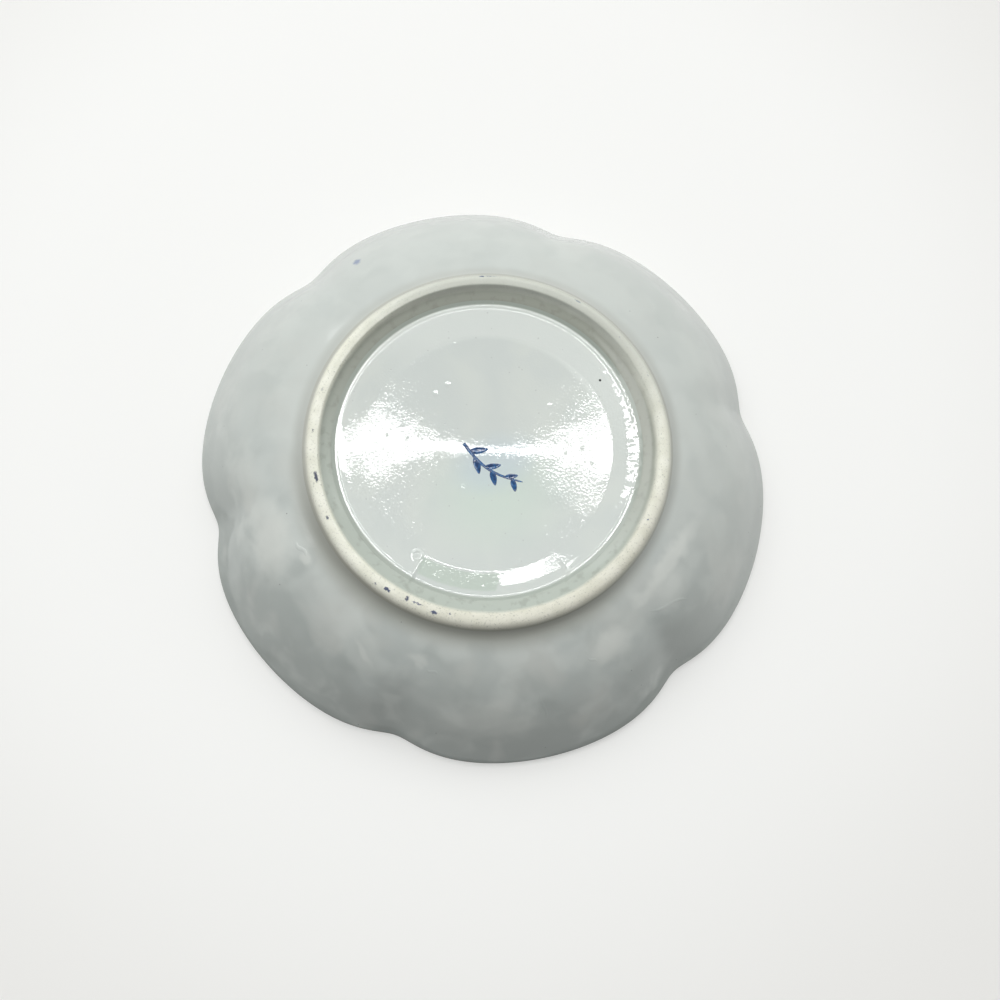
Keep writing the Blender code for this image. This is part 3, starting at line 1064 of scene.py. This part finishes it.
def bareMaterial(look):
    material, b = newMaterial("bare_porcelain")
    spot = b.place()
    x, y, z = b.split(spot)
    far = -1 * y
    clouds = b.cloud(spot, **look["clouds"])
    grain = b.cloud(spot, **look["grain"])
    tone = b.blend(b.step(clouds, *look["cloudStep"]), look["deep"], look["pale"])
    tone = b.blend(look["grainShare"] * b.step(grain, *look["grainStep"]), tone, look["grit"])
    grit = specks(b, ragged(b, spot, *look["gritRagged"]), *look["gritSize"])
    tone = b.blend(look["gritShare"] * grit, tone, look["grit"])
    tone = b.blend(look["farShare"] * b.step(far, *look["farSide"]), tone, look["far"])
    alongX, alongY = look["nearWay"]
    tone = b.blend(b.step(alongX * x + alongY * y, *look["nearSide"]), tone, look["near"], "MULTIPLY")
    wavy = ragged(b, spot, *look["fleckRagged"])
    marks = [
        strength * spotMask(b, wavy, (radius * mm, degrees), (length * mm, width * mm))
        for degrees, radius, length, width, strength in look["flecks"]
    ]
    mark = marks[0]
    for other in marks[1:]:
        mark = b.make("ShaderNodeMath", {"operation": "MAXIMUM"}, {0: mark, 1: other})
    ink = b.blend(b.step(clouds, *look["inkStep"]), look["ink"], look["cobalt"])
    tone = b.blend(look["fleckShare"] * mark, tone, ink)
    wander = z + look["wanderReach"] * b.cloud(spot, **look["wander"]) - look["wanderMiddle"]
    outside = b.step(b.radius(spot), *look["outside"])
    raised = look["glazeLineFar"] * b.step(far, *look["glazeLineSide"])
    within = b.step(wander - raised, *look["glazeLine"])
    glazed = (1 - outside) * within + outside * b.step(wander, *look["outerLine"])
    # Painted shade on the far inner side, painted light on the near inner side
    inner = b.blend(b.step(y, *look["glazeSide"]), look["shadedFarGlaze"], look["litNearGlaze"])
    stains = b.step(b.cloud(spot, **look["stains"]), *look["stainStep"])
    inner = b.blend(look["stainShare"] * stains, inner, look["stain"])
    # Painted shadow on the near outer side of the foot, lighter on the far side
    outer = b.blend(b.step(y, *look["outerSide"]), look["litOuterFar"], look["outerGlaze"])
    tone = b.blend(glazed, tone, b.blend(outside, inner, outer))
    least, more = look["rough"]
    rough = (1 - glazed) * (least + more * grain) + glazed * look["gloss"]
    b.ceramic(tone, rough, grain * (1 - glazed) + look["cloudRelief"] * clouds, look["relief"])
    return material


sprigLook = {
    "deep": (0.004, 0.030, 0.115),
    "thin": (0.010, 0.105, 0.285),
    "load": {"size": 0.8 * mm, "detail": 3, "roughness": 0.6},
    "loadStep": (0.35, 0.68),
    "gloss": (0.05, 0.06),  # roughness at least, and how much more where the paint is thin
    "relief": 0.02 * mm,
}


def sprigMaterial(look):
    material, b = newMaterial("cobalt_paint")
    load = b.cloud(b.place(), **look["load"])
    tone = b.blend(b.step(load, *look["loadStep"]), look["deep"], look["thin"])
    least, more = look["gloss"]
    b.ceramic(tone, least + more * load, load, look["relief"])
    return material


def seat(piece, material, slot, *nodes):
    piece.data.materials.append(material)
    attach(piece, "root")
    if nodes:
        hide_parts(*nodes)


outerGlaze = wallGlaze(glazeLook)
innerGlaze = baseGlaze(baseLook)
barePorcelain = bareMaterial(bareLook)
cobaltPaint = sprigMaterial(sprigLook)
print("materials made")

dishPiece = makeDish(dishShape, footShape, baseShape, handWork)
footPiece = makeFoot(dishShape, footShape, baseShape)
basePiece = makeBase(baseShape, footShape, handWork)
seat(dishPiece, outerGlaze, "clear_glaze", "outer_glaze", "dish_body")
seat(footPiece, barePorcelain, "bare_porcelain", "foot_ring")
seat(basePiece, innerGlaze, "clear_glaze", "base_glaze")
seat(makeSprig(sprigShape, underside(basePiece)), cobaltPaint, "clear_glaze")
seat(makeBlisters(blisterShape, underside(basePiece)), innerGlaze, "clear_glaze")
seat(makeRuns(runShape, underside(dishPiece)), outerGlaze, "clear_glaze")
print("dish, foot, base and its details made")


# Two pale floors, each seen from one side only: the table at the rim, and a floor under the foot
floors = {
    "tone": (0.95, 0.955, 0.935),
    # Painted light: the floor is lighter round a middle and darker towards its edge
    "edgeTone": (0.855, 0.852, 0.827),
    "middle": (-0.012, -0.024, 0),  # of the brightest part
    "fade": (0.085, 0.165),  # from that middle out
    "lost": (0.25, 1.1),  # where the floor is lost in the backdrop, from its middle out
    "backdrop": (0.95, 0.95, 0.94),
    "ownLight": 0.45,  # keeps the dish's shadow on the table light
    "glow": 0.96,
    "tableHalf": 0.16,
    "floorHalf": 4.0,
    "gap": 0.02 * mm,
    "nearShade": (0.16, 0.16, 0.155),  # what the rim's outer side sees of the table under it
    "farShade": (0.76, 0.76, 0.75),
    "shadeSide": (5 * mm, 45 * mm),
    "shadeStart": 0.1 * mm,  # off the rim
    "shadeReach": 5 * mm,
    "shadeGap": 0.03 * mm,
    "shadeSteps": 240,
}


def stageMesh(name, verts, faces, material):
    mesh = bpy.data.meshes.new(name)
    mesh.from_pydata(verts, [], faces)
    mesh.materials.append(material)
    return addObject(name, mesh)


def floorMaterial(name, look, ownLight):
    material, b = newMaterial(name)
    spot = b.place()
    off = b.vector("SUBTRACT", {0: spot, 1: look["middle"]})
    # Painted pool of light, fading out from the middle
    tone = b.blend(b.step(b.radius(off), *look["fade"]), look["tone"], look["edgeTone"])
    paint = b.make("ShaderNodeBsdfDiffuse", {}, {"Color": tone})
    if ownLight:
        glow = b.make("ShaderNodeEmission", {}, {"Color": tone, "Strength": look["glow"]})
        paint = b.mixShader(ownLight, paint, glow)
    beyond = b.make("ShaderNodeEmission", {}, {"Color": look["backdrop"], "Strength": 1})
    paint = b.mixShader(b.step(b.radius(spot), *look["lost"]), paint, beyond)
    behind = b.make("ShaderNodeNewGeometry", output="Backfacing")
    b.finish(b.mixShader(behind, paint, b.make("ShaderNodeBsdfTransparent")))
    return material


def makeFloor(name, half, height, faceUp, look, ownLight=0):
    corners = [(-half, -half), (half, -half), (half, half), (-half, half)]
    if not faceUp:
        corners.reverse()
    verts = [(x, y, height) for x, y in corners]
    floor = stageMesh(name, verts, [(0, 1, 2, 3)], floorMaterial(name, look, ownLight))
    floor.visible_diffuse = floor.visible_glossy = floor.visible_transmission = floor.visible_shadow = False


def makeShade(look, hand):  # the strip of table at the rim, which takes light away from the rim's outer side
    steps = look["shadeSteps"]
    angles = np.linspace(0, 2 * math.pi, steps, endpoint=False)
    inner = rimRadius - notchPull(angles, hand) + look["shadeStart"]
    radius = np.stack([inner, inner + look["shadeReach"]])
    height = np.full_like(radius, shellHigh.z + look["shadeGap"])
    verts = gridPoints(angles, radius, height).reshape(-1, 3).tolist()
    faces = [(j, steps + j, steps + (j + 1) % steps, (j + 1) % steps) for j in range(steps)]
    material, b = newMaterial("rim_shade")
    near = b.step(b.split(b.place())[1], *look["shadeSide"])
    tone = b.blend(near, look["farShade"], look["nearShade"])
    b.finish(b.make("ShaderNodeBsdfDiffuse", {}, {"Color": tone}))
    shade = stageMesh("rim_shade", verts, faces, material)
    shade.visible_camera = shade.visible_transmission = shade.visible_shadow = False


makeFloor("table_top", floors["tableHalf"], shellHigh.z + floors["gap"], False, floors, floors["ownLight"])
makeFloor("floor", floors["floorHalf"], -floors["gap"], True, floors)
makeShade(floors, handWork)


# Lamps for the underside stand off the base by angles in table axes, away from the viewer and to the right
lampSet = {
    "glint": {
        "away": 16.1,
        "aside": -0.8,
        "roll": 8.8,
        "distance": 1.25,
        "size": (0.418, 0.042),
        "level": 20.0,
    },
    "window": {"away": 37.5, "aside": -6, "roll": 0, "distance": 1.0, "size": (1.5, 0.44), "level": 1.8},
    "pane": {"away": 36, "aside": -8, "roll": 0, "distance": 1.0, "size": (0.2, 0.12), "level": 8.0},
    "left_bank": {"away": 5, "aside": -31, "roll": 0, "distance": 1.0, "size": (0.5, 0.6), "level": 2.7},
}
# One more lights the face, in dish axes
upperLamp = {"at": (-0.12, -0.1, 1.3), "target": (0, 0, 0.02), "roll": 0, "size": (0.6, 0.5), "level": 2.6}


def makeLamp(name, place, target, lamp, matrix):
    data = bpy.data.lights.new(name, "AREA")
    data.shape = "RECTANGLE"
    data.size, data.size_y = lamp["size"]
    data.energy = math.pi * data.size * data.size_y * lamp["level"]
    back = (Vector(place) - Vector(target)).normalized()
    level = Vector((0, 1, 0)).cross(back).normalized()
    roll = math.radians(lamp["roll"])
    across = level * math.cos(roll) + back.cross(level) * math.sin(roll)
    pose = Matrix((across, back.cross(across), back)).transposed().to_4x4()
    pose.translation = place
    addObject(name, data).matrix_world = matrix @ pose


def makeLamps(lamps, upper, base):
    middle = Vector((0, 0, dishHeight - base["middle"]))  # of the base, in table axes
    for name, lamp in lamps.items():
        aside, away = (math.tan(math.radians(lamp[way])) for way in ("aside", "away"))
        place = middle + Vector((aside, away, 1)).normalized() * lamp["distance"]
        makeLamp(name, place, middle, lamp, toDish)
    makeLamp("upper_soft", upper["at"], upper["target"], upper, Matrix.Identity(4))


makeLamps(lampSet, upperLamp, baseShape)


roomLook = {
    "table": (0.85, 0.85, 0.835),  # what the wall sees beside it, and the well above it
    "tableNear": (0.45, 0.45, 0.44),
    "tableFade": (-0.7, 0.1),  # from the viewer's side to the far side
    "bright": (0.58, 0.58, 0.58),
    "dark": (0.10, 0.10, 0.10),  # the side that the viewer stands on
    "ceiling": (0.30, 0.30, 0.31),
    "clouds": {"size": 0.35},
    "cloudStep": (0.5, 0.6),
    "viewerSide": (-0.45, -0.05),
    "horizon": (-0.04, 0.04),
    "backdrop": (0.95, 0.95, 0.94),
}


def makeWorld(look, turn):
    world = bpy.data.worlds.new("studio")
    bpy.context.scene.world = world
    b = Bench(world)
    way = b.make("ShaderNodeTexCoord", output="Generated")
    x, y, z = b.split(way)
    far = x * math.sin(turn) - y * math.cos(turn)
    clouds = b.step(b.cloud(way, **look["clouds"]), *look["cloudStep"])
    viewer = b.blend(clouds, look["dark"], look["ceiling"])
    above = b.blend(b.step(far, *look["viewerSide"]), viewer, look["bright"])
    table = b.blend(b.step(far, *look["tableFade"]), look["tableNear"], look["table"])
    tone = b.blend(b.step(z, *look["horizon"]), above, table)
    # Only the camera sees the backdrop, as nothing here is metal or glass
    seen = b.make("ShaderNodeLightPath", output="Is Camera Ray")
    tone = b.blend(seen, tone, look["backdrop"])
    b.finish(b.make("ShaderNodeBackground", {}, {"Color": tone, "Strength": 1}), "ShaderNodeOutputWorld")


makeWorld(roomLook, math.radians(tableView["turn"]))
bpy.context.scene.view_settings.view_transform = "Standard"
print("stage and lamps set")
